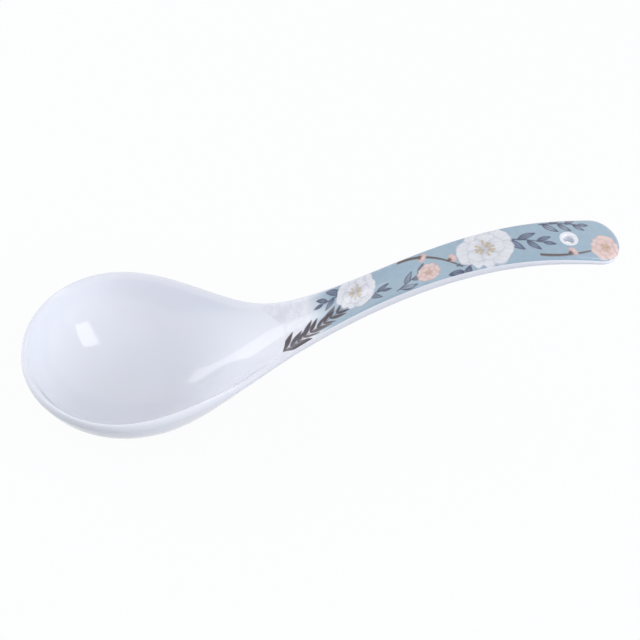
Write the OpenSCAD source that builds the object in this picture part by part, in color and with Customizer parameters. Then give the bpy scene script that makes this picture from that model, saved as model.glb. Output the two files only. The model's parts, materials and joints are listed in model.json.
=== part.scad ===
// Serving spoon: a deep egg-shaped bowl on a long arched handle, with a printed transfer
// on the handle and a round hole near its end to hang it by.
// Sizes are in millimetres. The foot under the bowl rests at z = 0 and the handle points along +X.
// Places along the spoon are measured from the front of the bowl, heights from the rim at the front.

/* [Overall] */
// Length from the middle of the front lip to the end of the handle
overall_length = 260; // [235:1:290]

/* [Bowl] */
// Greatest width over the middle of the lip
bowl_width = 86.3; // [76:0.1:96]
// Distance of the widest place from the front
widest_at = 41.8; // [36:0.1:46]
// Distance of the deepest place behind the widest one
deepest_behind_widest = 13.2; // [10:0.1:18]
// Depth of the bowl, from the rim to the middle of the wall
bowl_depth = 33.5; // [28:0.5:38]
// Lean of the walls, upright when small and flared when large
bowl_flare = 0.08; // [0.05:0.01:0.4]
// Thickness of the bowl's wall
wall_thickness = 3.5; // [2.8:0.1:4.4]
// Length over which the wall thins to its rounded lip
lip_length = 5; // [3.4:0.1:6]
// Height ground off the belly to leave the flat foot
foot_cut = 1; // [0.5:0.1:1.4]
// Distance of the shoulder, where the bowl begins to narrow, behind the deepest place
shoulder_behind_deepest = 20; // [17:0.5:24]
// Width of the bowl at its shoulder
shoulder_width = 66.8; // [60:0.2:72]
// Depth of the bowl at its shoulder
shoulder_depth = 27.2; // [24:0.2:30]
// Fall of the rim from the front to the shoulder
shoulder_drop = 4.4; // [2.5:0.1:5.5]

/* [Neck] */
// Distance of the neck, where the bowl runs into the handle, behind the shoulder
neck_behind_shoulder = 30; // [26:0.5:34]
// Width over the edges at the neck
neck_width = 37.2; // [33:0.2:42]
// Depth of the gutter at the neck
neck_depth = 7.2; // [5.6:0.1:9]
// Fall of the edge from the front to the neck
neck_drop = 4.9; // [3.5:0.1:6]
// Thickness at the neck
neck_thickness = 3.4; // [2.8:0.1:4.4]
// Length of the bowl's own part of the neck, before the seam with the handle
seam_before_neck = 5; // [3:0.5:8]

/* [Handle] */
// Distance of the throat behind the neck
throat_behind_neck = 20; // [17:0.5:24]
// Width at the throat
throat_width = 25.9; // [23:0.1:29]
// Height of the edge at the throat
throat_rise = 3.2; // [2:0.1:5]
// Depth of the gutter at the throat
throat_depth = 4.2; // [3:0.1:5.5]
// Thickness at the throat
throat_thickness = 3.6; // [3:0.1:4.6]
// Distance of the waist, the narrowest place, behind the throat
waist_behind_throat = 43; // [36:0.5:50]
// Width at the waist
waist_width = 19.7; // [17:0.1:22]
// Height of the edge at the waist
waist_rise = 24.4; // [21:0.2:28]
// Depth of the gutter at the waist
waist_depth = 2; // [1:0.1:3]
// Thickness at the waist
waist_thickness = 4.8; // [4:0.1:5.8]
// Distance of the crest of the arch behind the waist
crest_behind_waist = 54; // [46:0.5:62]
// Height of the edge at the crest
crest_rise = 36.3; // [32:0.1:41]
// Thickness at the crest
crest_thickness = 5.4; // [4.6:0.1:6.4]
// Width near the end
end_width = 26.2; // [23:0.2:29]
// Height of the edge at the end
end_rise = 31.7; // [28:0.1:36]
// Thickness at the end
end_thickness = 3.5; // [2.8:0.1:5]
// Length of the rounded end
end_round = 11; // [8.6:0.2:13]
// Crown of the top at the end
end_crown = 0.2; // [0:0.1:1]
// Rounding of the side edges
edge_round = 3.2; // [2.6:0.1:4]

/* [Hanging hole] */
// Diameter of the hole
hole_diameter = 4.6; // [3.6:0.1:6]
// Distance of the hole from the end of the handle
hole_from_end = 22.6; // [19:0.1:30]
// Rounding of the mouths of the hole
hole_mouth = 1; // [0.6:0.1:1.4]

/* [Transfer] */
// Thickness of the printed film
transfer_thickness = 0.15; // [0.1:0.05:0.3]
// Distance of the film's front edge behind the neck, on the middle line
transfer_start = 10; // [8:0.5:20]
// How far the front edge sweeps forward at the far side
far_sweep = 10.5; // [4:0.5:12]
// How far the front edge sweeps forward at the near side
near_sweep = 4.5; // [0:0.5:12]
// Diameter left bare around the hole
hole_clearing = 8; // [7.4:0.1:9.6]

/* [Hidden] */

// Places along the bowl and the handle
deepest_at = widest_at + deepest_behind_widest;
shoulder_at = deepest_at + shoulder_behind_deepest;
neck_at = shoulder_at + neck_behind_shoulder;
throat_at = neck_at + throat_behind_neck;
waist_at = throat_at + waist_behind_throat;
crest_at = waist_at + crest_behind_waist;
end_from = overall_length - end_round;
seam_at = neck_at - seam_before_neck;
hole_at = overall_length - hole_from_end;
half_bowl = bowl_width / 2;

// Number of steps round the lip, across the body and along the spoon
lip_steps = 4;
body_steps = 8;
row_steps = lip_steps + body_steps;
front_steps = 26;
shoulder_steps = 12;
handle_steps = 40;
tip_steps = 9;
// First step of the lip that the film covers
film_from = 1;
// A length that takes a cut clear past the surface
past = 20;

// Second derivatives of a smooth curve that starts level and ends free
function eliminate(rows, i = 0, c = 0, d = 0, out = []) =
    i == len(rows) ? out :
    let (pivot = rows[i][1] - rows[i][0] * c,
         next_c = rows[i][2] / pivot,
         next_d = (rows[i][3] - rows[i][0] * d) / pivot)
    eliminate(rows, i + 1, next_c, next_d, concat(out, [[next_c, next_d]]));
function resolve(rows, i, last = 0, out = []) =
    i < 0 ? out :
    let (value = rows[i][1] - rows[i][0] * last)
    resolve(rows, i - 1, value, concat([value], out));
function bends(xs, ys) =
    let (n = len(xs),
         gap = [for (i = [0 : n - 2]) xs[i + 1] - xs[i]],
         slope = [for (i = [0 : n - 2]) (ys[i + 1] - ys[i]) / gap[i]],
         rows = [for (i = [0 : n - 1])
             i == 0 ? [0, 2 * gap[0], gap[0], 6 * slope[0]] :
             i == n - 1 ? [0, 1, 0, 0] :
             [gap[i - 1], 2 * (gap[i - 1] + gap[i]), gap[i], 6 * (slope[i] - slope[i - 1])]])
    resolve(eliminate(rows), n - 1);
function curve(xs, ys) = [xs, ys, bends(xs, ys)];
function span(xs, x, i = 0) = (i >= len(xs) - 2 || x < xs[i + 1]) ? i : span(xs, x, i + 1);
function at(c, x) =
    let (i = span(c[0], x),
         gap = c[0][i + 1] - c[0][i],
         a = (c[0][i + 1] - x) / gap,
         b = (x - c[0][i]) / gap)
    a * c[1][i] + b * c[1][i + 1]
        + ((a ^ 3 - a) * c[2][i] + (b ^ 3 - b) * c[2][i + 1]) * gap * gap / 6;

// The curves that the spoon follows along its length
width_curve = curve(
    [widest_at, shoulder_at, neck_at, throat_at, waist_at, overall_length],
    [half_bowl, shoulder_width / 2, neck_width / 2, throat_width / 2, waist_width / 2, end_width / 2]);
edge_curve = curve(
    [0, shoulder_at, neck_at, throat_at, waist_at, crest_at, overall_length],
    [0, -shoulder_drop, -neck_drop, throat_rise, waist_rise, crest_rise, end_rise]);
depth_curve = curve(
    [deepest_at, shoulder_at, neck_at, throat_at, waist_at, overall_length],
    [bowl_depth, shoulder_depth, neck_depth, throat_depth, waist_depth, -end_crown]);
thickness_curve = curve(
    [deepest_at, shoulder_at, neck_at, throat_at, waist_at, crest_at, overall_length],
    [wall_thickness, wall_thickness, neck_thickness, throat_thickness,
     waist_thickness, crest_thickness, end_thickness]);
round_curve = curve(
    [deepest_at, shoulder_at, neck_at, throat_at, overall_length],
    [lip_length, lip_length, (lip_length + edge_round) / 2, edge_round, edge_round]);

// The hollow sinks from the edge like a deep cap
lean = bowl_flare * bowl_depth;
cap = (bowl_depth + lean) ^ 2 - lean ^ 2;
function sink(share) = sqrt(max(lean ^ 2 + share * cap, 0.01)) - lean;
function share_of(depth) = ((depth + lean) ^ 2 - lean ^ 2) / cap;

// Plan of the spoon and middle of its wall
function plan_squared(s) =
    s < widest_at ? half_bowl ^ 2 * (1 - (1 - s / widest_at) ^ 2) : at(width_curve, s) ^ 2;
function fill(s) =
    s < deepest_at ? 1 - (1 - s / deepest_at) ^ 2 : share_of(at(depth_curve, s));
function fill_over_plan(s) =
    s < widest_at
        ? (2 - s / deepest_at) / deepest_at / (half_bowl ^ 2 * (2 - s / widest_at) / widest_at)
        : fill(s) / plan_squared(s);
function half_width(s) =
    let (round_off = max((s - end_from) / end_round, 0))
    sqrt(max(plan_squared(s), 0)) * sqrt(max(1 - round_off ^ 2, 0));
function middle(s, y) = at(edge_curve, s) - sink(fill(s) - fill_over_plan(s) * y ^ 2);
function normal(s, y) =
    let (d = 0.01,
         along = (middle(s + d, y) - middle(s - d, y)) / (2 * d),
         across = (middle(s, y + d) - middle(s, y - d)) / (2 * d))
    [-along, -across, 1] / norm([-along, -across, 1]);
function half_thickness(s) = (s < deepest_at ? wall_thickness : at(thickness_curve, s)) / 2;
function lip_round(s) = s < deepest_at ? lip_length : at(round_curve, s);

// Height of the foot: everything is lifted so that it rests at z = 0
foot_at = deepest_at;
lift = half_thickness(deepest_at) - middle(deepest_at, 0) - foot_cut;

// One row of points from the edge to the middle line, each with its top, its underside and its normal
function row(s) =
    let (foot = min(max(s, deepest_at), end_from),
         inner = [foot, 0],
         outer = [s, half_width(s)],
         run = norm(outer - inner),
         probe = outer + (inner - outer) * 0.2 / run,
         fall = (middle(probe.x, probe.y) - middle(outer.x, outer.y)) / 0.2,
         length = run * sqrt(1 + fall ^ 2),
         lip = lip_round(s) / length,
         places = concat(
             [for (k = [0 : lip_steps])
                 let (turn = 90 * k / lip_steps) [1 - lip * (1 - cos(turn)), sin(turn)]],
             [for (k = [1 : body_steps]) [(1 - lip) * (1 - k / body_steps), 1]]))
    [for (place = places)
        let (p = inner + (outer - inner) * place[0],
             centre = [p.x, p.y, middle(p.x, p.y)],
             up = normal(p.x, p.y),
             half = half_thickness(p.x) * place[1])
        [centre + up * half, centre - up * half, up]];
function film_row(s) =
    let (base = row(s))
    [for (k = [film_from : row_steps])
        [base[k][0] + base[k][2] * (k == film_from ? 0 : transfer_thickness), base[k][0]]];

// A row and its mirror image make one closed ring round the section
function mirrored(p) = [p.x, 0 - p.y, p.z];
function ring(r) =
    let (n = len(r) - 1)
    concat(
        [for (k = [0 : n]) r[k][0]],
        [for (k = [n - 1 : -1 : 0]) mirrored(r[k][0])],
        [for (k = [1 : n]) mirrored(r[k][1])],
        [for (k = [n - 1 : -1 : 1]) r[k][1]]);

// A closed skin through a list of rings, with a cap where it is cut across
function proper(points, f) =
    points[f[0]] != points[f[1]] && points[f[1]] != points[f[2]] && points[f[0]] != points[f[2]];
module skin(rings, cap_first, cap_last) {
    m = len(rings[0]);
    quarter = m / 4;
    points = [for (r = rings) each r];
    sides = [for (i = [0 : len(rings) - 2], k = [0 : m - 1])
        let (a = i * m + k,
             b = i * m + (k + 1) % m,
             c = b + m,
             d = a + m)
        each floor(k / quarter) % 2 == 0 ? [[a, c, b], [a, d, c]] : [[a, d, b], [b, d, c]]];
    last = (len(rings) - 1) * m;
    first_cap = [for (k = [0 : m / 2 - 1])
        let (up = k + 1, under = (m - k - 1) % m, down = (m - k) % m)
        each [[k, up, under], [k, under, down]]];
    last_cap = [for (k = [0 : m / 2 - 1])
        let (up = last + k + 1, under = last + (m - k - 1) % m, down = last + (m - k) % m)
        each [[last + k, under, up], [last + k, down, under]]];
    faces = concat(sides, cap_first ? first_cap : [], cap_last ? last_cap : []);
    polyhedron(points, [for (f = faces) if (proper(points, f)) f], convexity = 6);
}

front_places = [for (k = [0 : front_steps - 1]) deepest_at * (1 - cos(90 * k / front_steps))];
shoulder_places = [for (k = [0 : shoulder_steps])
    deepest_at + (seam_at - deepest_at) * k / shoulder_steps];
handle_places = [for (k = [0 : handle_steps - 1]) seam_at + (end_from - seam_at) * k / handle_steps];
tip_places = [for (k = [0 : tip_steps])
    k == tip_steps ? overall_length : end_from + end_round * sin(90 * k / tip_steps)];

// Puts the spoon with the middle of its foot at the origin
module seated() {
    translate([-foot_at, 0, lift]) children();
}

module bowl() {
    color("whitesmoke")
    difference() {
        seated() skin([for (s = concat(front_places, shoulder_places)) ring(row(s))], false, true);
        translate([-neck_at, -bowl_width, -past]) cube([2 * neck_at, 2 * bowl_width, past]);
    }
}

// Rounded mouth round one end of the hole, with the surface at height 0
module mouth() {
    bore = hole_diameter / 2;
    rotate_extrude($fn = 48)
        polygon(concat(
            [[0, past], [bore + hole_mouth, past]],
            [for (k = [0 : 6]) [bore + hole_mouth * (1 - sin(15 * k)), hole_mouth * (cos(15 * k) - 1)]],
            [[0, -hole_mouth]]));
}

hole_top = middle(hole_at, 0) + half_thickness(hole_at);
hole_under = middle(hole_at, 0) - half_thickness(hole_at);
hole_lean = atan(normal(hole_at, 0).x / normal(hole_at, 0).z);

module handle() {
    color("white")
    difference() {
        seated() skin([for (s = concat(handle_places, tip_places)) ring(row(s))], true, false);
        seated() translate([hole_at, 0, hole_under - past])
            cylinder(d = hole_diameter, h = hole_top - hole_under + 2 * past, $fn = 48);
        seated() translate([hole_at, 0, hole_top]) rotate([0, hole_lean, 0]) mouth();
        seated() translate([hole_at, 0, hole_under]) rotate([0, hole_lean + 180, 0]) mouth();
    }
}

// Plan of the film: a curved front edge that sweeps forward at both sides
film_start = neck_at + transfer_start;
function film_front(side, sweep) = [for (k = [0 : 8])
    let (share = side > 0 ? 1 - k / 8 : k / 8, s = film_start - sweep * share ^ 2)
    [s, side * share * half_width(s)]];
module film_plan() {
    reach = neck_width;
    stop = overall_length + past;
    polygon(concat(
        [[film_start - far_sweep, reach]],
        film_front(1, far_sweep),
        film_front(-1, near_sweep),
        [[film_start - near_sweep, -reach], [stop, -reach], [stop, reach]]));
}

module handle_decal() {
    color("lightsteelblue")
    difference() {
        intersection() {
            seated() skin([for (s = concat(handle_places, tip_places)) ring(film_row(s))], true, false);
            seated() translate([0, 0, -past]) linear_extrude(height = crest_rise + 3 * past) film_plan();
        }
        seated() translate([hole_at, 0, hole_under]) cylinder(d = hole_clearing, h = past, $fn = 64);
    }
}

bowl();
handle();
handle_decal();
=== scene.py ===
"""Looks of a glazed ceramic serving spoon: glazed shells for bowl and handle, and a printed film."""

import json
import math

import bmesh
import bpy
import numpy as np
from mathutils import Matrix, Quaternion, Vector


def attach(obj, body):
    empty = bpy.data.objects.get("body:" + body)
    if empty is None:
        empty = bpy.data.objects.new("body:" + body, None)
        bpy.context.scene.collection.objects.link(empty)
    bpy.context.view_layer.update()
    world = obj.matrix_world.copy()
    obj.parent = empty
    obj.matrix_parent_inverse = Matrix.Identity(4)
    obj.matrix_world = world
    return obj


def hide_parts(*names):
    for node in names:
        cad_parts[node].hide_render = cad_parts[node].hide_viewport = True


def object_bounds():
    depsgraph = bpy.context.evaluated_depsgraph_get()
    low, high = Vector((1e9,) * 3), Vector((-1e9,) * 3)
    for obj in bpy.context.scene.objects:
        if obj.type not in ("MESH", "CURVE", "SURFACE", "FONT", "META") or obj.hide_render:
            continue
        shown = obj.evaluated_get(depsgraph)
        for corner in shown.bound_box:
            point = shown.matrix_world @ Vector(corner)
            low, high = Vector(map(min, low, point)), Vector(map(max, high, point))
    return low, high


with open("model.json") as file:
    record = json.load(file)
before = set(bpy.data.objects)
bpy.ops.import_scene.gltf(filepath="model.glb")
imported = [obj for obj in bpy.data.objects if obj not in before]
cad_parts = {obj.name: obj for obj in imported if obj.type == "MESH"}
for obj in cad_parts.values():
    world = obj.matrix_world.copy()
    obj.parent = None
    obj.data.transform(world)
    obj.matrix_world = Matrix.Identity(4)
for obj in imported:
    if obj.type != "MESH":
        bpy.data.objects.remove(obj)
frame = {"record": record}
CAD_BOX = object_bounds()
MM = 0.001

# Driving sizes of the spoon in millimetres, which give the form of the part's source.
# Places along the spoon are measured from the front of the bowl.
OVERALL_LENGTH = 260.0
WIDEST_AT = 41.8
DEEPEST_AT = 55.0
SHOULDER_AT = 75.0
NECK_AT = 105.0
THROAT_AT = 125.0
WAIST_AT = 168.0
CREST_AT = 222.0

# Widths over the middle of the edge
BOWL_WIDTH = 86.3
SHOULDER_WIDTH = 66.8
NECK_WIDTH = 37.2
THROAT_WIDTH = 25.9
WAIST_WIDTH = 19.7
END_WIDTH = 26.2
HALF_BOWL = BOWL_WIDTH / 2

# Drops and rises of the edge from the rim at the front
SHOULDER_DROP = 4.4
NECK_DROP = 4.9
THROAT_RISE = 3.2
WAIST_RISE = 24.4
CREST_RISE = 36.3
END_RISE = 31.7

# Depths of the hollow under the edge; the end is crowned a little instead
BOWL_DEPTH = 33.5
SHOULDER_DEPTH = 27.2
NECK_DEPTH = 7.2
THROAT_DEPTH = 4.2
WAIST_DEPTH = 2.0
END_CROWN = 0.2
BOWL_FLARE = 0.08

# Thicknesses, and the lengths over which the wall thins to its rounded edge
WALL = 3.5
NECK_THICKNESS = 3.4
THROAT_THICKNESS = 3.6
WAIST_THICKNESS = 4.8
CREST_THICKNESS = 5.4
END_THICKNESS = 3.5
LIP_LENGTH = 5.0
EDGE_ROUND = 3.2

# The ground foot, the seam between bowl and handle, and the round end of the handle
FOOT_CUT = 1.0
SEAM_AT = NECK_AT - 5.0
END_ROUND = 11.0
END_FROM = OVERALL_LENGTH - END_ROUND

# The hanging hole, from the frame
HOLE_MOUNT = next(m for m in frame["record"]["mounts"] if m["name"] == "hanging_hole")
HOLE_RADIUS = HOLE_MOUNT["dims"]["r_mm"]
HOLE_AT = HOLE_MOUNT["pos_m"][0] / MM + DEEPEST_AT
HOLE_MOUTH = 1.0
HOLE_CLEARING = 4.0
# Half the side of the block of faces that gives way to round loops about the hole
HOLE_BLOCK = 6.0

# The printed film
FILM_START = NECK_AT + 10.0
FILM_JOIN = FILM_START + 18.0
FAR_SWEEP = 10.5
NEAR_SWEEP = 4.5
FILM_LIFT = 0.05
FILM_SINK = 0.05
FILM_EDGE_TURN = math.radians(22.5)
# At its edge the film dips into the glaze, and one step in it has a share of its lift
FILM_EDGE_DIP = 0.02
FILM_EDGE_SHARE = 0.6

# Fineness of the shells
LIP_STEPS = 12
BODY_STEPS = 36
ROW_STEPS = LIP_STEPS + BODY_STEPS
FRONT_STEPS = 96
SHOULDER_STEPS = 60
HANDLE_STEPS = 200
TIP_STEPS = 30
HOLE_LOOPS = 8
HOLE_WALL_STEPS = 8
MOUTH_TURNS = np.radians(np.arange(10, 91, 10))

# Fineness of the film: a step in millimetres, and the lengths that it divides
FILM_STEP = 0.27
FILM_ACROSS = 10.5
FILM_TIP = 18.0
WINDOW_LOOPS = 12

# The view: degrees round and above, metres away and aside, and the lens in millimetres
VIEW_AZIMUTH = -8.0
VIEW_ELEVATION = 50.0
VIEW_AWAY = 0.66056
AIM_RIGHT = -0.00008
AIM_UP = 0.00089
LENS = 84.375
SENSOR = 36.0

# Mark of the flat faces that are the ground foot
FOOT_MARK = 2

# Distance of the lamps, and the place in the bowl that they face, in metres
LAMP_DISTANCE = 1.2
BOWL_HEART = Vector((0.0, 0.0, 0.03))


def smooth_curve(xs, ys):
    """A smooth curve through points that starts level and ends free."""
    xs, ys = np.array(xs, float), np.array(ys, float)
    gap = np.diff(xs)
    slope = np.diff(ys) / gap
    n = len(xs)
    system = np.zeros((n, n))
    right = np.zeros(n)
    system[0, :2] = 2 * gap[0], gap[0]
    right[0] = 6 * slope[0]
    system[-1, -1] = 1.0
    for i in range(1, n - 1):
        system[i, i - 1 : i + 2] = gap[i - 1], 2 * (gap[i - 1] + gap[i]), gap[i]
        right[i] = 6 * (slope[i] - slope[i - 1])
    bend = np.linalg.solve(system, right)

    def value(x):
        x = np.asarray(x, float)
        i = np.clip(np.searchsorted(xs, x, side="right") - 1, 0, n - 2)
        a = (xs[i + 1] - x) / gap[i]
        b = (x - xs[i]) / gap[i]
        curl = (a**3 - a) * bend[i] + (b**3 - b) * bend[i + 1]
        return a * ys[i] + b * ys[i + 1] + curl * gap[i] ** 2 / 6

    return value


width_at = smooth_curve(
    [WIDEST_AT, SHOULDER_AT, NECK_AT, THROAT_AT, WAIST_AT, OVERALL_LENGTH],
    [HALF_BOWL, SHOULDER_WIDTH / 2, NECK_WIDTH / 2, THROAT_WIDTH / 2, WAIST_WIDTH / 2, END_WIDTH / 2],
)
edge_at = smooth_curve(
    [0, SHOULDER_AT, NECK_AT, THROAT_AT, WAIST_AT, CREST_AT, OVERALL_LENGTH],
    [0, -SHOULDER_DROP, -NECK_DROP, THROAT_RISE, WAIST_RISE, CREST_RISE, END_RISE],
)
depth_at = smooth_curve(
    [DEEPEST_AT, SHOULDER_AT, NECK_AT, THROAT_AT, WAIST_AT, OVERALL_LENGTH],
    [BOWL_DEPTH, SHOULDER_DEPTH, NECK_DEPTH, THROAT_DEPTH, WAIST_DEPTH, -END_CROWN],
)
thickness_at = smooth_curve(
    [DEEPEST_AT, SHOULDER_AT, NECK_AT, THROAT_AT, WAIST_AT, CREST_AT, OVERALL_LENGTH],
    [WALL, WALL, NECK_THICKNESS, THROAT_THICKNESS, WAIST_THICKNESS, CREST_THICKNESS, END_THICKNESS],
)
round_at = smooth_curve(
    [DEEPEST_AT, SHOULDER_AT, NECK_AT, THROAT_AT, OVERALL_LENGTH],
    [LIP_LENGTH, LIP_LENGTH, (LIP_LENGTH + EDGE_ROUND) / 2, EDGE_ROUND, EDGE_ROUND],
)

# The hollow sinks from the edge like a deep cap. Past the edge its square stays above a least value.
LEAN = BOWL_FLARE * BOWL_DEPTH
CAP = (BOWL_DEPTH + LEAN) ** 2 - LEAN**2
LEAST_SQUARE = 0.01


def sink(share):
    """Depth under the edge at a share of the full square of the depth."""
    return np.sqrt(np.maximum(LEAN**2 + share * CAP, LEAST_SQUARE)) - LEAN


def plan_squared(s):
    """Square of the half width, without the round end."""
    front = HALF_BOWL**2 * (1 - (1 - s / WIDEST_AT) ** 2)
    return np.where(s < WIDEST_AT, front, width_at(np.maximum(s, WIDEST_AT)) ** 2)


def fill(s):
    """Share of the full square of the depth on the middle line."""
    depth = depth_at(np.maximum(s, DEEPEST_AT))
    behind = ((depth + LEAN) ** 2 - LEAN**2) / CAP
    return np.where(s < DEEPEST_AT, 1 - (1 - s / DEEPEST_AT) ** 2, behind)


def fill_over_plan(s):
    """That share over the square of the half width, also at the front, where both are nothing."""
    front = (2 - s / DEEPEST_AT) / DEEPEST_AT / (HALF_BOWL**2 * (2 - s / WIDEST_AT) / WIDEST_AT)
    behind = np.maximum(s, WIDEST_AT)
    return np.where(s < WIDEST_AT, front, fill(behind) / plan_squared(behind))


def half_width(s):
    """Half the width over the middle of the edge."""
    round_off = np.maximum((s - END_FROM) / END_ROUND, 0)
    return np.sqrt(np.maximum(plan_squared(s), 0)) * np.sqrt(np.maximum(1 - round_off**2, 0))


def middle(s, y):
    """Height of the middle of the wall."""
    return edge_at(s) - sink(fill(s) - fill_over_plan(s) * y**2)


def unit(v):
    """The vectors at length 1."""
    return v / np.maximum(np.linalg.norm(v, axis=-1, keepdims=True), 1e-12)


def normal(s, y, d=0.01):
    """Upward normal of the middle of the wall, from its heights a little to each side."""
    along = (middle(s + d, y) - middle(s - d, y)) / (2 * d)
    across = (middle(s, y + d) - middle(s, y - d)) / (2 * d)
    return unit(np.stack([-along, -across, np.ones_like(along)], -1))


def half_thickness(s):
    """Half the full thickness of the wall."""
    return np.where(s < DEEPEST_AT, WALL, thickness_at(np.maximum(s, DEEPEST_AT))) / 2


def lip_round(s):
    """Length over which the wall thins to its edge."""
    return np.where(s < DEEPEST_AT, LIP_LENGTH, round_at(np.maximum(s, DEEPEST_AT)))


# Everything is lifted so that the foot rests at z = 0, with the origin under the deepest place
LIFT = float(half_thickness(DEEPEST_AT) - middle(np.array(DEEPEST_AT), np.array(0.0)) - FOOT_CUT)
SEAT = np.array([-DEEPEST_AT, 0.0, LIFT])

# The hole goes straight through the tilted handle
HOLE_TILT = normal(np.array(HOLE_AT), np.array(0.0))
HOLE_HALF = float(half_thickness(HOLE_AT))


def wall_points(s, y, rise):
    """Centre, normal and half thickness of the wall; rise is the share of the full thickness."""
    centre = np.stack([s, y, middle(s, y)], -1) + SEAT
    return centre, normal(s, y), (half_thickness(s) * rise)[..., None]


def ray(s):
    """Inner and outer end of a row in plan, and its length along the wall."""
    inner = np.stack([np.clip(s, DEEPEST_AT, END_FROM), np.zeros_like(s)], -1)
    outer = np.stack([s, half_width(s)], -1)
    run = np.linalg.norm(outer - inner, axis=-1)
    short = 0.2
    probe = outer + (inner - outer) * (short / run)[:, None]
    fall = (middle(probe[:, 0], probe[:, 1]) - middle(outer[:, 0], outer[:, 1])) / short
    return inner, outer, run * np.sqrt(1 + fall**2)


def rows(s):
    """Plan places, top and underside of one row per place, from the edge to the middle line."""
    inner, outer, length = ray(s)
    lip = (lip_round(s) / length)[:, None]
    turn = np.linspace(0, math.pi / 2, LIP_STEPS + 1)
    body = np.arange(1, BODY_STEPS + 1) / BODY_STEPS
    share = np.concatenate([1 - lip * (1 - np.cos(turn)), (1 - lip) * (1 - body)], 1)
    rise = np.concatenate([np.sin(turn), np.ones(BODY_STEPS)])
    plan = inner[:, None] + (outer - inner)[:, None] * share[..., None]
    centre, up, half = wall_points(plan[..., 0], plan[..., 1], np.broadcast_to(rise, share.shape))
    return plan, centre + up * half, centre - up * half


def mirrored(points):
    """The points on the other side of the spoon."""
    return points * np.array([1.0, -1.0, 1.0]) + 0.0


def rings_of(top, under):
    """A row and its mirror image make one closed ring round the section."""
    return np.concatenate([top, mirrored(top[:, -2::-1]), mirrored(under[:, 1:]), under[:, -2:0:-1]], 1)


def ring_normals(rings, places):
    """Outward normals of the skin through the rings, smooth across both closed ends."""
    size = rings.shape[1]
    flip = (size // 2 - np.arange(size)) % size
    longer = np.concatenate([rings[1:2, flip], rings, rings[-2:-1, flip]])
    along = longer[2:] - longer[:-2]
    around = np.roll(rings, -1, 1) - np.roll(rings, 1, 1)
    out = unit(np.cross(along, around))
    quarter = size // 4
    fans = (places <= DEEPEST_AT) | (places >= END_FROM)
    foot = np.clip(places, DEEPEST_AT, END_FROM)
    up = normal(foot, np.zeros_like(foot))
    out = out * np.sign((out[:, quarter] * up).sum(-1)[~fans].mean())
    out[fans, quarter] = up[fans]
    out[fans, 3 * quarter] = -up[fans]
    return out


def strip(first, second):
    """Quads between two closed loops of vertex numbers."""
    return [(first[k - 1], first[k], second[k], second[k - 1]) for k in range(len(first))]


def bridge(loops):
    """Quads between each closed loop of vertex numbers and the next."""
    return [face for first, second in zip(loops, loops[1:]) for face in strip(first, second)]


def numbered(start, count, size):
    """Vertex numbers of a count of loops of one size, one after another."""
    return [list(range(start + j * size, start + (j + 1) * size)) for j in range(count)]


def skin_faces(count, size, skip=()):
    """Quads between rings of vertices, without those in skip."""
    return [
        (i * size + k, i * size + (k + 1) % size, (i + 1) * size + (k + 1) % size, (i + 1) * size + k)
        for i in range(count - 1)
        for k in range(size)
        if (i, k) not in skip
    ]


def cap_faces(start, size, shift=0):
    """Quads across one ring, from its top half to its underside; shift 1 if they share no vertex."""
    return [
        tuple(start + j % size for j in (k, k + 1, size - k - 1 - shift, size - k - shift))
        for k in range(size // 2 - shift)
    ]


def with_cap(faces, start, size, shift=0):
    """The faces and a cap across the ring that starts at a vertex, with the numbers of the cap's faces."""
    caps = cap_faces(start, size, shift)
    return faces + caps, set(range(len(faces), len(faces) + len(caps)))


def block(i0, i1, k0, k1):
    """Cells of a block of a grid, and the loop of (row, column) round it."""
    cells = {(i, k) for i in range(i0, i1) for k in range(k0, k1)}
    loop = [(i, k0) for i in range(i0, i1)]
    loop += [(i1, k) for k in range(k0, k1)]
    loop += [(i, k1) for i in range(i1, i0, -1)]
    loop += [(i0, k) for k in range(k1, k0, -1)]
    return cells, loop


def weld(points, faces):
    """Joins vertices at one place and drops what collapses."""
    _, first, number = np.unique(np.round(points, 5), axis=0, return_index=True, return_inverse=True)
    number = number.ravel()
    kept, welded = [], []
    for n, face in enumerate(faces):
        around = [number[v] for v in face]
        around = [int(v) for k, v in enumerate(around) if v != around[k - 1]]
        if len(set(around)) > 2:
            welded.append(around)
            kept.append(n)
    return first, welded, kept


def make_piece(name, points, faces, normals, flat, cut_foot=False, colours=None):
    """A closed mesh piece in metres. Faces in flat keep their own normal; zero normals are filled in."""
    first, welded, kept = weld(points, faces)
    mesh = bpy.data.meshes.new(name)
    mesh.from_pydata((points[first] * DRAW_IN * MM).tolist(), [], welded)
    mesh.attributes.new("lay", "FLOAT_VECTOR", "POINT").data.foreach_set("vector", normals[first].ravel())
    mesh.attributes.new("flat", "INT", "FACE").data.foreach_set("value", [int(n in flat) for n in kept])
    if colours is not None:
        paint = mesh.color_attributes.new("print", "FLOAT_COLOR", "POINT")
        paint.data.foreach_set("color", np.c_[colours[first], np.ones(len(first))].ravel())
    bm = bmesh.new()
    bm.from_mesh(mesh)
    flat_layer = bm.faces.layers.int["flat"]
    if cut_foot:
        everything = bm.verts[:] + bm.edges[:] + bm.faces[:]
        bmesh.ops.bisect_plane(
            bm, geom=everything, dist=1e-7, plane_co=(0, 0, 0), plane_no=(0, 0, 1), clear_inner=True
        )
        rim = [e for e in bm.edges if e.is_boundary]
        for face in bmesh.ops.edgeloop_fill(bm, edges=rim)["faces"]:
            face[flat_layer] = FOOT_MARK
    bmesh.ops.recalc_face_normals(bm, faces=bm.faces[:])
    bm.to_mesh(mesh)
    bm.free()
    mesh.polygons.foreach_set("use_smooth", [True] * len(mesh.polygons))
    set_normals(mesh)
    piece = bpy.data.objects.new(name, mesh)
    bpy.context.scene.collection.objects.link(piece)
    return piece


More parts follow.
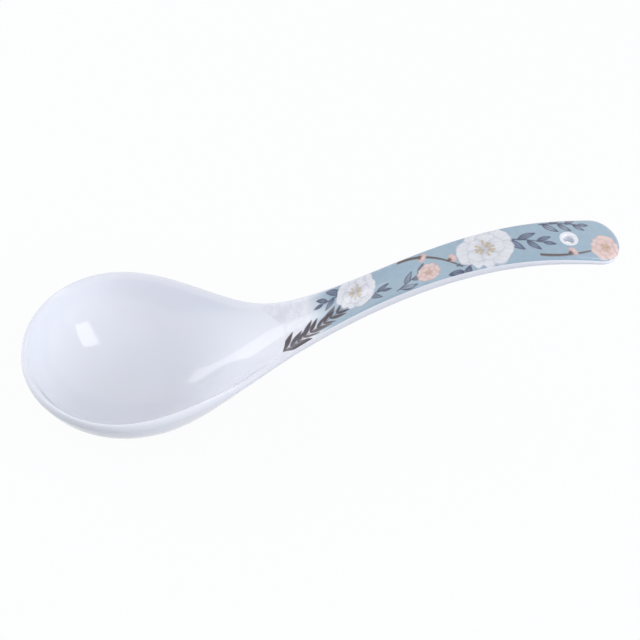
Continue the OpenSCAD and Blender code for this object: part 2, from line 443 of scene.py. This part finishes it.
def set_normals(mesh):
    """Gives each corner the normal stored at its vertex, or its face's own where the face is flat.

    A stored normal that is missing or faces inwards gives way to the vertex's own.
    """
    count = len(mesh.vertices)
    lay = np.zeros(count * 3)
    mesh.attributes["lay"].data.foreach_get("vector", lay)
    lay = lay.reshape(-1, 3)
    found = np.array([v.normal for v in mesh.vertices])
    empty = np.linalg.norm(lay, axis=1) < 0.5
    lay[empty] = found[empty]
    lay = unit(lay)
    against = (lay * found).sum(1) < 0
    lay[against] = found[against]
    flat = [f.value for f in mesh.attributes["flat"].data]
    corners = np.zeros((len(mesh.loops), 3))
    for face in mesh.polygons:
        span = slice(face.loop_start, face.loop_start + face.loop_total)
        corners[span] = face.normal if flat[face.index] else lay[list(face.vertices)]
        face.material_index = 1 if flat[face.index] == FOOT_MARK else 0
    mesh.normals_split_custom_set(corners.tolist())
    mesh.attributes.remove(mesh.attributes["lay"])
    mesh.attributes.remove(mesh.attributes["flat"])


def stand_in(piece, node):
    """The piece takes the place of a CAD node and moves with the spoon."""
    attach(piece, "root")
    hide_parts(node)


def hole_shift(side):
    """How far along the mouth of the tilted hole lies from its middle; side is 1 on top, -1 under."""
    return -side * HOLE_TILT[0] * HOLE_HALF


def circle_loop(angles, radius, side):
    """Plan places on a circle about the mouth of the hole."""
    return np.stack([HOLE_AT + hole_shift(side) + radius * np.cos(angles), radius * np.sin(angles)], -1)


def angles_of(boundary):
    """Angles round the hole of the places on a block's boundary."""
    return np.arctan2(boundary[:, 1], boundary[:, 0] - HOLE_AT)


def toward_circle(boundary, radius, side, share):
    """Plan places a share of the way from a block's boundary to a circle about the hole."""
    return boundary * (1 - share) + circle_loop(angles_of(boundary), radius, side) * share


def hole_stages(boundary, side):
    """Loops of points from a block's boundary to the straight wall of the hole, on one side."""
    stages = []
    for share in np.linspace(0, 1, HOLE_LOOPS + 1)[1:]:
        plan = toward_circle(boundary, HOLE_RADIUS + HOLE_MOUTH, side, share)
        centre, up, half = wall_points(plan[:, 0], plan[:, 1], np.ones(len(plan)))
        stages.append(centre + side * up * half)
    for turn in MOUTH_TURNS:
        radius = HOLE_RADIUS + HOLE_MOUTH * (1 - math.sin(turn))
        plan = circle_loop(angles_of(boundary), radius, side)
        centre, up, half = wall_points(plan[:, 0], plan[:, 1], np.ones(len(plan)))
        stages.append(centre + side * (up * half - HOLE_TILT * HOLE_MOUTH * (1 - math.cos(turn))))
    return stages


def whole_spoon():
    """Places along the spoon, and the plan and ring of points at each."""
    front = DEEPEST_AT * (1 - np.cos(np.linspace(0, math.pi / 2, FRONT_STEPS + 1)[:-1]))
    shoulder = np.linspace(DEEPEST_AT, SEAM_AT, SHOULDER_STEPS + 1)[:-1]
    handle = np.linspace(SEAM_AT, END_FROM, HANDLE_STEPS + 1)[:-1]
    tip = END_FROM + END_ROUND * np.sin(np.linspace(0, math.pi / 2, TIP_STEPS + 1))
    tip[-1] = OVERALL_LENGTH
    places = np.concatenate([front, shoulder, handle, tip])
    plan, top, under = rows(places)
    return places, plan, rings_of(top, under)


def draw_in():
    """Shares that keep the fine shells inside the box of the coarser CAD."""
    _, _, rings = whole_spoon()
    points = rings.reshape(-1, 3) * MM
    above = np.array(CAD_BOX[1]) / points.max(0)
    below = np.array(CAD_BOX[0]) / points.min(0)
    # The foot is cut off level, so nothing has to be drawn in below
    below[2] = 1.0
    return np.minimum(1, np.minimum(above, below))


def build_bowl(rings, normals):
    """The glazed bowl: the skin through its rings, capped at the seam and cut level at the foot."""
    count, size, _ = rings.shape
    faces, flat = with_cap(skin_faces(count, size), (count - 1) * size, size)
    return make_piece(
        "bowl_shell", rings.reshape(-1, 3), faces, normals.reshape(-1, 3), flat, cut_foot=True
    )


def build_handle(places, plan, rings, normals):
    """The glazed handle; loops about the hole take the place of a block of faces on top and under."""
    count, size, _ = rings.shape
    n = ROW_STEPS
    i0, i1 = np.flatnonzero(np.abs(places - HOLE_AT) < HOLE_BLOCK)[[0, -1]]
    reach = int(np.argmin(np.abs(plan[i0, LIP_STEPS:, 1] - HOLE_BLOCK))) + LIP_STEPS
    cells, loop = block(i0, i1, reach, 2 * n - reach)
    under_cells, _ = block(i0, i1, 2 * n + reach, 4 * n - reach)
    boundary = np.array([plan[i, k] if k <= n else plan[i, 2 * n - k] * [1, -1] for i, k in loop])
    upper = hole_stages(boundary, 1)
    lower = hole_stages(boundary, -1)
    drop = lower[-1] - upper[-1]
    wall = [upper[-1] + drop * k / HOLE_WALL_STEPS for k in range(1, HOLE_WALL_STEPS)]
    stages = upper + wall + lower[::-1]
    skin = rings.reshape(-1, 3)
    points = np.concatenate([skin] + stages)
    normals = np.concatenate([normals.reshape(-1, 3), np.zeros((len(points) - len(skin), 3))])
    loops = [[i * size + k for i, k in loop]]
    loops += numbered(len(skin), len(stages), len(loop))
    loops.append([i * size + 4 * n - k for i, k in loop])
    faces = skin_faces(count, size, cells | under_cells) + bridge(loops)
    faces, flat = with_cap(faces, 0, size)
    return make_piece("handle_shell", points, faces, normals, flat)


def build_shells():
    """The glazed bowl and handle, made from one set of rings that is parted at the seam."""
    places, plan, rings = whole_spoon()
    normals = ring_normals(rings, places)
    seam = FRONT_STEPS + SHOULDER_STEPS
    bowl = build_bowl(rings[: seam + 1], normals[: seam + 1])
    handle = build_handle(places[seam:], plan[seam:], rings[seam:], normals[seam:])
    return bowl, handle


def lip_rise(share, lip, length):
    """Share of the full thickness at a share of the way out to the edge."""
    inside = np.clip((1 - share) * length / lip, 0, 1)
    return np.sqrt(np.maximum(1 - (1 - inside) ** 2, 0))


def film_edge(s, length):
    """Share of the way out to the spoon's edge at which the film ends."""
    return 1 - lip_round(s) / length * (1 - math.cos(FILM_EDGE_TURN))


def film_side(side, sweep):
    """Plan places and share of the thickness over one side of the film, from edge to middle line."""
    inward = np.linspace(0, 1, int(round(FILM_ACROSS / FILM_STEP)) + 1)
    front = np.linspace(0, 1, int((FILM_JOIN - FILM_START + FAR_SWEEP / 2) / FILM_STEP))[:-1]
    straight = np.arange(FILM_JOIN, END_FROM, FILM_STEP)
    tip = END_FROM + END_ROUND * np.sin(np.linspace(0, math.pi / 2, int(FILM_TIP / FILM_STEP)))
    tip[-1] = OVERALL_LENGTH
    places = np.concatenate([straight, tip])
    inner, outer, length = ray(places)
    edge = film_edge(places, length)
    share = edge[:, None] * (1 - inward)
    plan = inner[:, None] + (outer - inner)[:, None] * share[..., None]
    rise = lip_rise(share, lip_round(places)[:, None], length[:, None])
    # The front edge is curved, so its rows run along the spoon from that curve to the first straight row
    start = FILM_START - sweep * (edge[0] * (1 - inward)) ** 2
    s = start + (FILM_JOIN - start) * front[:, None]
    _, _, length = ray(s.ravel())
    length = length.reshape(s.shape)
    share = film_edge(s, length) * (1 - inward)
    plan = np.concatenate([np.stack([s, share * half_width(s)], -1), plan])
    rise = np.concatenate([lip_rise(share, lip_round(s), length), rise])
    return plan * np.array([1.0, side]) + 0.0, rise


def film_grid():
    """Plan places and share of the thickness over the whole film, from the far edge to the near one."""
    far_plan, far_rise = film_side(1.0, FAR_SWEEP)
    near_plan, near_rise = film_side(-1.0, NEAR_SWEEP)
    plan = np.concatenate([far_plan, near_plan[:, -2::-1]], 1)
    rise = np.concatenate([far_rise, near_rise[:, -2::-1]], 1)
    return plan, rise


def film_lift(count, wide):
    """How proud of the glaze the film stands at each place of its grid; its edges run out softly."""
    rank = np.minimum(np.arange(wide), wide - 1 - np.arange(wide))[None, :]
    rank = np.minimum(rank, np.arange(count)[:, None])
    inside = np.where(rank == 1, FILM_LIFT * FILM_EDGE_SHARE, FILM_LIFT)
    return np.where(rank == 0, -FILM_EDGE_DIP, inside)[..., None]


def film_block(plan):
    """The block of the film's grid about the hole: its cells and the loop round it."""
    middle_column = plan.shape[1] // 2
    i0, i1 = (
        int(np.argmin(np.abs(plan[:, middle_column, 0] - place)))
        for place in (HOLE_AT - HOLE_BLOCK, HOLE_AT + HOLE_BLOCK)
    )
    reach = int(np.argmin(np.abs(plan[i0, : middle_column + 1, 1] - HOLE_BLOCK)))
    return block(i0, i1, reach, plan.shape[1] - 1 - reach)


def film_window(boundary):
    """Loops from the block to the bare ring of the hole: plan places, normals, top and underside."""
    shares = np.linspace(0, 1, WINDOW_LOOPS + 1)[1:]
    plan = np.array([toward_circle(boundary, HOLE_CLEARING, 1, share) for share in shares])
    centre, up, half = wall_points(plan[..., 0], plan[..., 1], np.ones(plan.shape[:2]))
    glaze_top = centre + up * half
    lift = np.where(shares == 1, -FILM_EDGE_DIP, FILM_LIFT)[:, None, None]
    return plan, up, glaze_top + up * lift, glaze_top - up * FILM_SINK


def stacked(*grids):
    """Grids of places as one long list of places."""
    return np.concatenate([grid.reshape(-1, grid.shape[-1]) for grid in grids])


def grid_normals(grid, up):
    """Normals of a grid of points, on the side of up; up itself where the grid closes to a point."""
    along = np.gradient(grid, axis=0)
    across = np.gradient(grid, axis=1)
    out = np.cross(along, across)
    weak = np.linalg.norm(out, axis=-1) < 1e-9
    out = unit(out)
    out = out * np.sign((out * up).sum(-1, keepdims=True))
    out[weak] = up[weak]
    return out


def build_film():
    """The printed film on the handle: a thin closed sheet whose edges sink into the glaze."""
    plan, rise = film_grid()
    count, wide = rise.shape
    centre, up, half = wall_points(plan[..., 0], plan[..., 1], rise)
    glaze_top = centre + up * half
    out = grid_normals(glaze_top, up)
    out[-1] = unit(out[-1] + out[-1, ::-1])
    upper = glaze_top + out * film_lift(count, wide)
    lower = glaze_top - out * FILM_SINK
    cells, loop = film_block(plan)
    boundary = np.array([plan[i, k] for i, k in loop])
    window_plan, window_out, window_upper, window_lower = film_window(boundary)

    # Each row is a ring over the top and back underneath; the window's loops follow, top first
    size = 2 * wide
    points = stacked(np.concatenate([upper, lower[:, ::-1]], 1), window_upper, window_lower[::-1])
    normals = stacked(np.concatenate([out, -out[:, ::-1]], 1), window_out, -window_out[::-1])
    places = stacked(np.concatenate([plan, plan[:, ::-1]], 1), window_plan, window_plan[::-1])
    loops = [[i * size + k for i, k in loop]]
    loops += numbered(count * size, 2 * WINDOW_LOOPS, len(loop))
    loops.append([i * size + size - 1 - k for i, k in loop])
    lower_cells = {(i, size - 2 - k) for i, k in cells}
    faces = skin_faces(count, size, cells | lower_cells) + bridge(loops)
    faces, flat = with_cap(faces, 0, size, shift=1)
    colours = printed(places[:, 0], places[:, 1])
    return make_piece("printed_film", points, faces, normals, flat, colours=colours)


# The print: a generic floral on a grey-blue ground, in millimetres along and across the handle.
# Colours are as seen, from 0 to 255.
BARE = (234, 236, 246)
GROUND = (153, 178, 198)
GROUND_PALE = (184, 204, 219)
WHITE = (231, 232, 240)
PALE = (214, 219, 232)
LILAC = (184, 187, 206)
OCHRE = (186, 156, 104)
SLATE = (140, 162, 188)
NAVY = (50, 50, 78)
PLUM = (56, 43, 56)
BROWN = (84, 66, 64)
PINK = (232, 208, 204)
ROSE = (200, 164, 168)

# The ground's paler clouds, and its bare start that fades into it
CLOUD_SHARE = 0.4
CLOUD_SIZE = 12.0
CLOUD_SEED = 1.3
BARE_UNTIL = 24.0
BARE_FADE = 12.0

# Petals of a blossom, the turn from one stamen to the next, and the steps of twigs and of the arch
PETALS = 5
STAMEN_TURN = 137.5
TWIG_STEPS = 150
ARCH_STEPS = 1200
ARCH_FROM = NECK_AT - 10.0


class Canvas:
    """Colours at a set of places, painted over one another with soft edges."""

    def __init__(self, a, b, colour):
        self.a, self.b = a, b
        self.colour = np.tile(np.array(colour, float), (len(a), 1))

    def lay(self, mask, colour):
        """Lays a colour over what is there, as far as the mask says."""
        mask = np.clip(mask, 0, 1)[:, None]
        self.colour = self.colour * (1 - mask) + np.array(colour, float) * mask

    def local(self, at, turn):
        """Coordinates along and across a direction from a place."""
        x, y = self.a - at[0], self.b - at[1]
        c, s = math.cos(math.radians(turn)), math.sin(math.radians(turn))
        return x * c + y * s, y * c - x * s


def soft(inside, blur=0.3):
    """1 inside, 0 outside, by the distance in millimetres inside an edge."""
    return np.clip(inside / blur * 0.5 + 0.5, 0, 1)


def wash(a, b, size, seed):
    """Smooth, watercolour-like variation from about 0 to 1."""
    waves = [(1.0, 0.3), (0.6, -0.9), (1.7, 0.7), (2.3, -1.9)]
    total = sum(
        np.sin((a * u + b * v) / size + seed * (k + 1.7)) / (1 + 0.5 * k) for k, (u, v) in enumerate(waves)
    )
    return 0.5 + 0.22 * total


def along_from(at, turn, run):
    """The place that lies a run along a direction from another place."""
    return at[0] + run * math.cos(math.radians(turn)), at[1] + run * math.sin(math.radians(turn))


def paint_petal(canvas, at, turn, length, width, tint, shade):
    """A broad petal with a notched round end, outlined faintly and shaded towards its base."""
    widest, outline = 0.55, 0.35
    along, across = canvas.local(at, turn)
    side = across / (width / 2)
    notch = 0.1 * np.exp(-((side / 0.25) ** 2))
    wave = 0.03 * np.sin(8 * side + turn)
    share = along / length / (1 - notch + wave)
    taper = np.clip(share / widest, 0, 1) ** 0.75
    end = np.sqrt(np.clip(1 - (np.clip(share - widest, 0, 1) / (1 - widest)) ** 2, 0, 1))
    body = np.where(share < widest, taper, end)
    inside = np.where((share > 0) & (share < 1), (body - np.abs(side)) * width / 2, -2.0)
    canvas.lay(0.85 * soft(inside, 0.4), shade)
    canvas.lay(soft(inside - outline, 0.6) * np.clip(0.2 + 1.2 * share, 0, 1), tint)
    veins = np.cos(side * 9) ** 8 * np.clip(share * (1 - share) * 4, 0, 1)
    canvas.lay(0.2 * veins * soft(inside - 0.4), shade)


def paint_stroke(canvas, at, turn, length, width, colour, strength=0.7):
    """A short brush stroke, rounded at both ends."""
    along, across = canvas.local(at, turn)
    share = 2 * np.abs(along) / length
    body = width / 2 * np.sqrt(np.clip(1 - share**2, 0, 1))
    inside = np.where(share < 1, body - np.abs(across), -1.0)
    canvas.lay(strength * soft(inside, 0.45), colour)


def paint_blossom(canvas, at, radius, turn, tint=WHITE, shade=LILAC, stamens=11):
    """An open blossom: two rings of broad petals round a tuft of ochre stamens."""
    gap = 360 / PETALS
    for size, offset in ((1.0, 0.0), (0.66, gap / 2)):
        for k in range(PETALS):
            reach = radius * size * (1 + 0.07 * math.sin(3.1 * k + turn))
            paint_petal(canvas, at, turn + offset + gap * k, reach, reach * 1.14, tint, shade)
    for k in range(stamens):
        way = turn + STAMEN_TURN * k
        run = radius * (0.15 + 0.035 * (k % 4))
        stalk = along_from(at, way, run)
        tip = along_from(at, way, run + radius * 0.12)
        paint_stroke(canvas, stalk, way, radius * 0.2, radius * 0.055, OCHRE)
        paint_stroke(canvas, tip, way, radius * 0.08, radius * 0.08, OCHRE)


def paint_leaf(canvas, at, turn, length, width, fill_with=SLATE, line=NAVY, bend=0.0):
    """A pointed leaf with a brushed outline and a midrib."""
    along, across = canvas.local(at, turn)
    share = along / length
    across = across - bend * length * share * (1 - share)
    body = width / 2 * np.sin(math.pi * np.clip(share, 0, 1) ** 0.8) ** 0.9
    inside = np.where((share > 0) & (share < 1), body - np.abs(across), -1.0)
    outline = 0.34 + 0.12 * np.sin(along * 1.1 + turn)
    half_rib = 0.13
    canvas.lay(soft(inside), line)
    canvas.lay(soft(inside - outline) * (0.55 + 0.45 * share), fill_with)
    canvas.lay(0.6 * soft(inside) * soft(half_rib - np.abs(across)), line)


def paint_twig(canvas, start, bend, end, width, colour=BROWN):
    """A tapering twig along a bow from start to end, drawn towards bend."""
    t = np.linspace(0, 1, TWIG_STEPS)[:, None]
    path = (1 - t) ** 2 * np.array(start) + 2 * t * (1 - t) * np.array(bend) + t**2 * np.array(end)
    inside = np.full(len(canvas.a), -9.0)
    for k, (x, y) in enumerate(path):
        radius = width / 2 * (1 - 0.55 * k / len(path))
        inside = np.maximum(inside, radius - np.hypot(canvas.a - x, canvas.b - y))
    canvas.lay(0.9 * soft(inside), colour)


def paint_spray(canvas, start, turn, leaves, length, fill_with=SLATE, line=NAVY, spread=34):
    """A spray: a thin stalk with leaves by turns on its two sides and one at its tip."""
    step = length * 0.42
    end = along_from(start, turn, step * leaves)
    bow = along_from(start, turn + 6, step * leaves / 2)
    paint_twig(canvas, start, bow, end, 0.6, line)
    for k in range(leaves):
        side = 1 if k % 2 else -1
        size = length * (1 - 0.35 * k / leaves)
        spot = along_from(start, turn, step * (k + 0.3))
        paint_leaf(canvas, spot, turn + side * spread, size, size * 0.34, fill_with, line, bend=0.1 * side)
    paint_leaf(canvas, end, turn, length * 0.6, length * 0.22, fill_with, line)


def paint_frond(canvas, start, turn, pairs, length, step):
    """A dense dark frond: pairs of narrow leaves along a stalk."""
    for k in range(pairs):
        spot = along_from(start, turn, step * k)
        for side in (-1, 1):
            size = length * (1 - 0.4 * k / pairs) * (1 + 0.16 * math.sin(2.1 * k + side))
            lean = side * (35 + 9 * math.sin(1.7 * k + 2 * side))
            dark = (NAVY, PLUM)[(k + (side > 0)) % 2]
            paint_leaf(canvas, spot, turn + lean, size, size * 0.26, dark, PLUM, bend=0.14 * side)
    bow = along_from(start, turn, step)
    end = along_from(start, turn, step * pairs)
    paint_twig(canvas, start, bow, end, 0.7, PLUM)


def paint_bud(canvas, at, radius, turn):
    """A pale pink bud held by a small calyx."""
    for lean in (-24, 24, 0):
        paint_petal(canvas, at, turn + lean, radius * 2.3, radius * 1.6, PINK, ROSE)
    for lean in (-32, 0, 32):
        spot = along_from(at, turn + lean, radius * 0.4)
        paint_stroke(canvas, spot, turn + lean, radius * 1.2, radius * 0.4, BROWN, 0.8)


def arc_along(s):
    """Distance along the handle's arch from the start of the film."""
    steps = np.linspace(ARCH_FROM, OVERALL_LENGTH, ARCH_STEPS)
    slope = np.gradient(edge_at(steps), steps)
    run = np.concatenate([[0], np.cumsum(np.hypot(1, slope)[1:] * np.diff(steps))])
    return np.interp(s, steps, run) - np.interp(FILM_START, steps, run)


def linear(seen):
    """Linear values of colours as seen, by the usual curve of screens."""
    return np.where(seen <= 0.04045, seen / 12.92, ((seen + 0.055) / 1.055) ** 2.4)


def printed(s, y):
    """Linear colours of the print at plan places."""
    a, b = arc_along(s), y
    canvas = Canvas(a, b, GROUND)
    canvas.lay(CLOUD_SHARE * wash(a, b, CLOUD_SIZE, CLOUD_SEED), GROUND_PALE)
    canvas.lay(np.clip((BARE_UNTIL - a) / BARE_FADE, 0, 1), BARE)
    # A pale blossom on the far side and a dark frond from the near side where the print begins
    paint_blossom(canvas, (-1, 9), 10.0, 20, BARE, PALE, 0)
    paint_frond(canvas, (-2, -12), 18, 9, 10.5, 3.6)
    # Leaves and the first blossom on the far side
    paint_spray(canvas, (41, -1), -14, 2, 8.0)
    paint_spray(canvas, (30, 7), 188, 3, 8.0)
    paint_blossom(canvas, (36, 3.5), 9.5, 15)
    # A leaf spray that crosses to a twig with two buds, and a pink blossom
    paint_spray(canvas, (54, -7.5), 26, 4, 8.5, GROUND_PALE)
    paint_twig(canvas, (57, 8.5), (73, 8), (83, -6.5), 1.3)
    paint_bud(canvas, (66, 7.2), 1.7, -35)
    paint_bud(canvas, (78, -0.5), 1.8, 20)
    paint_blossom(canvas, (69, -3.5), 5.5, 10, PINK, ROSE, 7)
    # The large blossom in the middle, with leaves on both sides
    paint_spray(canvas, (90, -5), 212, 3, 8.5)
    paint_spray(canvas, (103, 3), -16, 4, 9.5)
    paint_blossom(canvas, (94, 0.5), 12.0, 40)
    # Leaves, and a pink blossom on a short twig, about the hole and the end
    paint_spray(canvas, (119, 9.0), -3, 5, 8.0, GROUND_PALE)
    paint_twig(canvas, (116, -8.5), (128, -11), (141, -6), 1.3)
    paint_bud(canvas, (128, -8.5), 1.8, 30)
    paint_blossom(canvas, (145, -5), 7.0, 5, PINK, ROSE, 9)
    return linear(canvas.colour / 255)


# The clear glaze on body and print: its refraction, its coat, and its faint ripple in metres
GLAZE_IOR = 1.5
COAT_WEIGHT = 0.6
COAT_ROUGHNESS = 0.03
RIPPLE_SCALE = 45.0
RIPPLE_HEIGHT = 0.00003


def link(tree, out, into):
    """Joins two sockets of a node tree."""
    tree.links.new(out, into)


def new_material(name):
    """A material with its node tree and its main shader."""
    material = bpy.data.materials.new(name)
    material.use_nodes = True
    tree = material.node_tree
    return material, tree, tree.nodes["Principled BSDF"]


def noise_between(tree, scale, low, high, detail=3.0):
    """A noise in object space, spread between two values."""
    where = tree.nodes.new("ShaderNodeTexCoord")
    noise = tree.nodes.new("ShaderNodeTexNoise")
    noise.inputs["Scale"].default_value = scale
    noise.inputs["Detail"].default_value = detail
    spread = tree.nodes.new("ShaderNodeMapRange")
    spread.inputs["From Min"].default_value = 0.3
    spread.inputs["From Max"].default_value = 0.7
    spread.inputs["To Min"].default_value = low
    spread.inputs["To Max"].default_value = high
    link(tree, where.outputs["Object"], noise.inputs["Vector"])
    link(tree, noise.outputs["Fac"], spread.inputs["Value"])
    return spread.outputs["Result"]


def ripple(tree, shader, scale, height):
    """A faint unevenness of the surface, as of a poured glaze or a ground foot."""
    bump = tree.nodes.new("ShaderNodeBump")
    bump.inputs["Strength"].default_value = 1.0
    bump.inputs["Distance"].default_value = 1.0
    link(tree, noise_between(tree, scale, 0.0, height, 1.0), bump.inputs["Height"])
    link(tree, bump.outputs["Normal"], shader.inputs["Normal"])


def gloss(tree, shader, roughest):
    """The clear glaze that body and print share."""
    link(tree, noise_between(tree, 60.0, 0.06, roughest), shader.inputs["Roughness"])
    ripple(tree, shader, RIPPLE_SCALE, RIPPLE_HEIGHT)
    shader.inputs["IOR"].default_value = GLAZE_IOR
    shader.inputs["Coat Weight"].default_value = COAT_WEIGHT
    shader.inputs["Coat Roughness"].default_value = COAT_ROUGHNESS


def two_tones(tree, shader, scale, first, second):
    """A base colour that drifts between two tones."""
    mix = tree.nodes.new("ShaderNodeMix")
    mix.data_type = "RGBA"
    mix.inputs["A"].default_value = first
    mix.inputs["B"].default_value = second
    link(tree, noise_between(tree, scale, 0.0, 1.0), mix.inputs["Factor"])
    link(tree, mix.outputs["Result"], shader.inputs["Base Color"])


def glaze_material():
    """Clear glaze over a bluish-white body, a little warmer in places."""
    material, tree, shader = new_material("white_glaze")
    two_tones(tree, shader, 14.0, (0.831, 0.86, 0.95, 1), (0.855, 0.87, 0.945, 1))
    gloss(tree, shader, 0.11)
    return material


def foot_material():
    """The ground foot: bare, fine-grained ceramic."""
    material, tree, shader = new_material("ground_foot")
    two_tones(tree, shader, 900.0, (0.68, 0.67, 0.66, 1), (0.78, 0.775, 0.77, 1))
    ripple(tree, shader, 2500.0, 0.00004)
    shader.inputs["Roughness"].default_value = 0.75
    return material


def print_material():
    """The print's colours under the same glossy glaze."""
    material, tree, shader = new_material("printed_glaze")
    paint = tree.nodes.new("ShaderNodeAttribute")
    paint.attribute_name = "print"
    tone = tree.nodes.new("ShaderNodeHueSaturation")
    link(tree, noise_between(tree, 400.0, 0.96, 1.04), tone.inputs["Value"])
    link(tree, paint.outputs["Color"], tone.inputs["Color"])
    link(tree, tone.outputs["Color"], shader.inputs["Base Color"])
    gloss(tree, shader, 0.12)
    return material


def show_white(tree, shader, white, share):
    """Mixes a shader with a share of plain white for the camera, in reflections and seen through glass."""
    path = tree.nodes.new("ShaderNodeLightPath")
    seen = path.outputs["Is Camera Ray"]
    for kind in ("Is Glossy Ray", "Is Transmission Ray"):
        either = tree.nodes.new("ShaderNodeMath")
        either.operation = "MAXIMUM"
        link(tree, seen, either.inputs[0])
        link(tree, path.outputs[kind], either.inputs[1])
        seen = either.outputs[0]
    part = tree.nodes.new("ShaderNodeMath")
    part.operation = "MULTIPLY"
    part.inputs[1].default_value = share
    link(tree, seen, part.inputs[0])
    both = tree.nodes.new("ShaderNodeMixShader")
    link(tree, part.outputs[0], both.inputs[0])
    link(tree, shader, both.inputs[1])
    link(tree, white, both.inputs[2])
    return both.outputs[0]


def build_floor():
    """A wide white floor that keeps a light shadow."""
    half = 6.0
    mesh = bpy.data.meshes.new("floor")
    corners = [(-half, -half, 0), (half, -half, 0), (half, half, 0), (-half, half, 0)]
    mesh.from_pydata(corners, [], [(0, 1, 2, 3)])
    floor = bpy.data.objects.new("floor", mesh)
    bpy.context.scene.collection.objects.link(floor)
    material, tree, shader = new_material("white_floor")
    shader.inputs["Base Color"].default_value = (0.3, 0.338, 0.405, 1)
    shader.inputs["Roughness"].default_value = 0.9
    shader.inputs["Specular IOR Level"].default_value = 0.0
    white = tree.nodes.new("ShaderNodeEmission")
    white.inputs["Color"].default_value = (1, 1, 1, 1)
    white.inputs["Strength"].default_value = 1.06
    output = tree.nodes["Material Output"]
    link(tree, show_white(tree, shader.outputs[0], white.outputs[0], share=0.9), output.inputs["Surface"])
    mesh.materials.append(material)


def build_world():
    """Even pale light from all round, white to the camera and in reflections."""
    world = bpy.data.worlds.new("studio")
    bpy.context.scene.world = world
    world.use_nodes = True
    tree = world.node_tree
    light = tree.nodes["Background"]
    light.inputs["Color"].default_value = (0.97, 0.985, 1.0, 1)
    light.inputs["Strength"].default_value = 0.46
    white = tree.nodes.new("ShaderNodeBackground")
    white.inputs["Color"].default_value = (1, 1, 1, 1)
    white.inputs["Strength"].default_value = 1.0
    output = tree.nodes["World Output"]
    link(tree, show_white(tree, light.outputs[0], white.outputs[0], share=1.0), output.inputs["Surface"])


def direction(azimuth, elevation):
    """Unit vector by the angle round from +X and the angle above the horizon, in degrees."""
    a, e = math.radians(azimuth), math.radians(elevation)
    return Vector((math.cos(a) * math.cos(e), math.sin(a) * math.cos(e), math.sin(e)))


def add_soft_box(name, azimuth, elevation, size, power, roll=0.0, gleam=True):
    """A rectangular lamp that faces the bowl's heart; without gleam it doesn't show in the glaze."""
    lamp = bpy.data.lights.new(name, "AREA")
    lamp.shape = "RECTANGLE"
    lamp.size, lamp.size_y = size
    lamp.energy = power
    box = bpy.data.objects.new(name, lamp)
    way = direction(azimuth, elevation)
    rolled = Quaternion((0, 0, 1), math.radians(roll))
    box.location = BOWL_HEART + way * LAMP_DISTANCE
    box.rotation_euler = (way.to_track_quat("Z", "Y") @ rolled).to_euler()
    box.visible_glossy = gleam
    bpy.context.scene.collection.objects.link(box)


def build_lights():
    """Panels that gleam in the glaze at the right and behind on the left, and fills that don't."""
    add_soft_box("right_box", -19, 41.7, (0.32, 0.59), 1.4, roll=-42)
    add_soft_box("back_box", 137.8, 19.7, (0.33, 0.81), 1.05, roll=2.8)
    add_soft_box("front_fill", -68, 42, (1.00, 1.00), 3.9, gleam=False)
    add_soft_box("low_fill", -22, 12, (0.80, 0.40), 4.7, gleam=False)
    add_soft_box("left_fill", 135, 30, (1.00, 0.80), 3.6, gleam=False)
    add_soft_box("tip_fill", 165, 20, (0.80, 0.40), 3.3, gleam=False)


def build_camera():
    """The camera at the photograph's angle, aimed half way along the spoon at the rim's height."""
    azimuth, elevation = math.radians(VIEW_AZIMUTH), math.radians(VIEW_ELEVATION)
    back = Vector(
        (
            math.sin(azimuth) * math.cos(elevation),
            -math.cos(azimuth) * math.cos(elevation),
            math.sin(elevation),
        )
    )
    right = Vector((math.cos(azimuth), math.sin(azimuth), 0.0))
    up = back.cross(right)
    half_way = Vector(((OVERALL_LENGTH / 2 - DEEPEST_AT) * MM, 0.0, LIFT * MM))
    lens = bpy.data.cameras.new("camera")
    lens.sensor_width = SENSOR
    lens.lens = LENS
    camera = bpy.data.objects.new("camera", lens)
    camera.location = half_way + right * AIM_RIGHT + up * AIM_UP + back * VIEW_AWAY
    camera.rotation_euler = back.to_track_quat("Z", "Y").to_euler()
    bpy.context.scene.collection.objects.link(camera)
    bpy.context.scene.camera = camera


DRAW_IN = draw_in()
build_camera()
bowl_shell, handle_shell = build_shells()
printed_film = build_film()

glaze = glaze_material()
bowl_shell.data.materials.append(glaze)
bowl_shell.data.materials.append(foot_material())
handle_shell.data.materials.append(glaze)
printed_film.data.materials.append(print_material())

stand_in(bowl_shell, "bowl")
stand_in(handle_shell, "handle")
stand_in(printed_film, "handle_decal")

build_floor()
build_world()
build_lights()
bpy.context.scene.view_settings.view_transform = "Standard"
